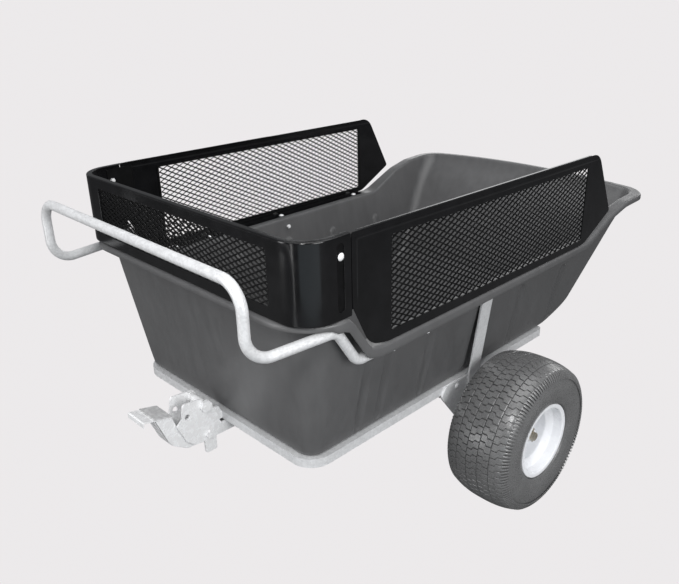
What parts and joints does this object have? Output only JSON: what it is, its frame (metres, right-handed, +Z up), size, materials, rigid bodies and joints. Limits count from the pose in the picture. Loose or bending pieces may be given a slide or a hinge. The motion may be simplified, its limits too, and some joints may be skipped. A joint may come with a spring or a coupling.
{
  "type": "garden cart",
  "caption": "Two-wheeled tipping garden cart with a moulded tub, bolted mesh side panels, a tubular push handle and a foot-pedal latch.",
  "frame": {"origin": "middle of the footprint on the ground, below the centre of the bounding box", "axes": "+Z up, +X across to the right-hand wheel, -Y towards the push handle and latch, +Y towards the pouring lip"},
  "size_m": [1.29, 1.74, 0.9839],
  "materials": {
    "tub_plastic": "semi-matte moulded polyethylene",
    "galvanised_steel": "galvanised, light grey with a soft spangle",
    "black_paint": "gloss black powder coat",
    "black_mesh": "gloss black powder coat on expanded metal",
    "zinc_plate": "bright zinc plate",
    "pedal_rubber": "ribbed black rubber",
    "spring_steel": "oiled steel",
    "tyre_rubber": "matt rubber with block tread",
    "white_paint": "white gloss enamel",
    "brass": "plain brass",
    "bush_nylon": "black nylon"
  },
  "bodies": {
    "chassis": {"drawbar": "galvanised_steel", "axle": "spring_steel", "axle_saddles": "galvanised_steel", "axle_spacers": "spring_steel", "axle_washers": "zinc_plate", "split_pins": "zinc_plate", "latch_cheek_right": "zinc_plate", "latch_cheek_left": "zinc_plate", "cheek_tie_bolt": "zinc_plate", "cheek_tie_spacer": "zinc_plate", "pedal_pivot_bolt": "zinc_plate", "pedal_return_spring": "spring_steel"},
    "pedal": {"pedal_arm": "zinc_plate", "pedal_plate": "zinc_plate", "pedal_tread": "pedal_rubber"},
    "wheel_right": {"tyre_right": "tyre_rubber", "rim_right": "white_paint", "hub_tube_right": "white_paint", "hub_bushes_right": "brass", "valve_stem_right": "brass"},
    "wheel_left": {"tyre_left": "tyre_rubber", "rim_left": "white_paint", "hub_tube_left": "white_paint", "hub_bushes_left": "brass", "valve_stem_left": "brass"},
    "tipping_body": {"axle_bracket_left": "galvanised_steel", "axle_bracket_right": "galvanised_steel", "axle_bush_left": "bush_nylon", "axle_bush_right": "bush_nylon", "base_ring": "galvanised_steel", "bracket_bolts": "zinc_plate", "corner_joiner_left": "black_paint", "corner_joiner_right": "black_paint", "cross_member_front": "galvanised_steel", "cross_member_middle": "galvanised_steel", "cross_member_rear": "galvanised_steel", "floor_bolts": "zinc_plate", "front_mesh": "black_mesh", "front_panel": "black_paint", "front_panel_bolts": "zinc_plate", "handle_bolts": "zinc_plate", "joiner_bolts": "zinc_plate", "latch_striker": "zinc_plate", "push_handle": "galvanised_steel", "side_mesh_left": "black_mesh", "side_mesh_right": "black_mesh", "side_panel_bolts": "zinc_plate", "side_panel_left": "black_paint", "side_panel_right": "black_paint", "strut_bolts": "zinc_plate", "strut_left": "galvanised_steel", "strut_right": "galvanised_steel", "tub": "tub_plastic"}
  },
  "joints": [
    {"name": "tub_tip", "type": "hinge", "parent": "chassis", "child": "tipping_body", "pos_m": [0, 0.048, 0.2285], "axis": [-1, 0, 0], "range_deg": [0, 42]},
    {"name": "pedal_press", "type": "hinge", "parent": "chassis", "child": "pedal", "pos_m": [0, -0.687, 0.332], "axis": [1, 0, 0], "range_deg": [0, 14], "stiffness_Nm_per_rad": 20, "springref_deg": -14.32},
    {"name": "wheel_right_spin", "type": "hinge", "parent": "chassis", "child": "wheel_right", "pos_m": [0.541, 0.048, 0.2285], "axis": [1, 0, 0], "continuous": true},
    {"name": "wheel_left_spin", "type": "hinge", "parent": "chassis", "child": "wheel_left", "pos_m": [-0.541, 0.048, 0.2285], "axis": [1, 0, 0], "continuous": true}
  ]
}
